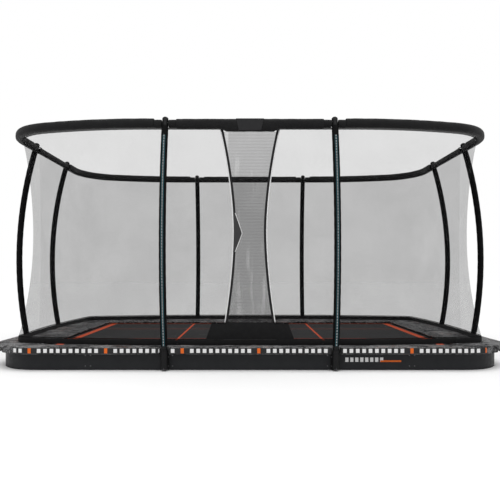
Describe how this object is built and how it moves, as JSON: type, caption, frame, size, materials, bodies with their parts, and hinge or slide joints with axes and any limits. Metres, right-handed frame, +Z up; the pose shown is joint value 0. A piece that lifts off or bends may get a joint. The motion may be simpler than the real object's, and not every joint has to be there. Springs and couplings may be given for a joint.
{
  "type": "trampoline",
  "caption": "rectangular in-ground trampoline with low wall, sprung mat, edge pads and a safety net on bowed posts with an hourglass entrance",
  "frame": {"origin": "on the floor under the middle of the trampoline", "axes": "+X along the length, +Y across from the entrance side to the back, +Z up; the entrance faces -Y"},
  "size_m": [5.3694, 3.3848, 2.4227],
  "materials": {
    "steel_coated": "matt powder coat, charcoal",
    "zinc": "zinc plated",
    "post_steel": "satin powder coat, black",
    "sleeve_cloth": "woven sleeve, black with a narrow printed strip",
    "cap_plastic": "moulded, black",
    "mat_weave": "woven mat with orange stripes",
    "pad_cover": "coated cloth, dark smoky print",
    "ring_cloth": "coated cloth, black",
    "badge_plastic": "soft patch, dark grey",
    "net_mesh": "fine open mesh, black",
    "skirt_cloth": "coated cloth, black"
  },
  "bodies": {
    "frame_body": {"frame_front": "steel_coated", "frame_back": "steel_coated", "frame_left": "steel_coated", "frame_right": "steel_coated", "frame_feet": "steel_coated", "wall_front": "steel_coated", "wall_back": "steel_coated", "wall_front_left": "steel_coated", "wall_front_right": "steel_coated", "wall_back_left": "steel_coated", "wall_back_right": "steel_coated", "wall_end_front_left": "steel_coated", "wall_end_front_right": "steel_coated", "wall_end_back_left": "steel_coated", "wall_end_back_right": "steel_coated", "wall_bolts": "zinc", "springs": "zinc", "pad_front": "pad_cover", "pad_back": "pad_cover", "pad_left": "pad_cover", "pad_right": "pad_cover", "post_front_left": "post_steel", "post_front_right": "post_steel", "post_right_front": "post_steel", "post_right_back": "post_steel", "post_back_right": "post_steel", "post_back_left": "post_steel", "post_left_back": "post_steel", "post_left_front": "post_steel", "post_sockets": "post_steel", "socket_bolts": "zinc", "post_sleeves": "sleeve_cloth", "post_caps": "cap_plastic", "ring_spigots": "post_steel", "ring_tubes": "post_steel", "ring_sleeve_front": "ring_cloth", "ring_sleeve_back": "ring_cloth", "ring_sleeve_left": "ring_cloth", "ring_sleeve_right": "ring_cloth", "ring_sleeve_front_left": "ring_cloth", "ring_sleeve_front_right": "ring_cloth", "ring_sleeve_back_left": "ring_cloth", "ring_sleeve_back_right": "ring_cloth", "ring_collars": "ring_cloth", "ring_badge": "badge_plastic", "net_front_left": "net_mesh", "net_front_right": "net_mesh", "net_left": "net_mesh", "net_right": "net_mesh", "net_back_left": "net_mesh", "net_back_right": "net_mesh", "skirt_left": "skirt_cloth", "skirt_right": "skirt_cloth", "skirt_toggles": "cap_plastic", "entrance_panel": "skirt_cloth", "entrance_edges": "skirt_cloth", "pull_tab": "skirt_cloth"},
    "mat_body": {"mat": "mat_weave", "mat_rings": "zinc"},
    "flap_body": {"entrance_flap": "net_mesh"}
  },
  "joints": [
    {"name": "mat_travel", "type": "slide", "parent": "frame_body", "child": "mat_body", "axis": [0, 0, -1], "range_m": [0, 0.13], "stiffness_N_per_m": 9000, "springref_m": -0.03, "deforming": ["springs"]},
    {"name": "flap_swing", "type": "hinge", "parent": "frame_body", "child": "flap_body", "pos_m": [0.31, -1.412, 0.277], "axis": [0, 0.0197, -0.9998], "range_deg": [0, 75], "stiffness_Nm_per_rad": 1.5}
  ]
}
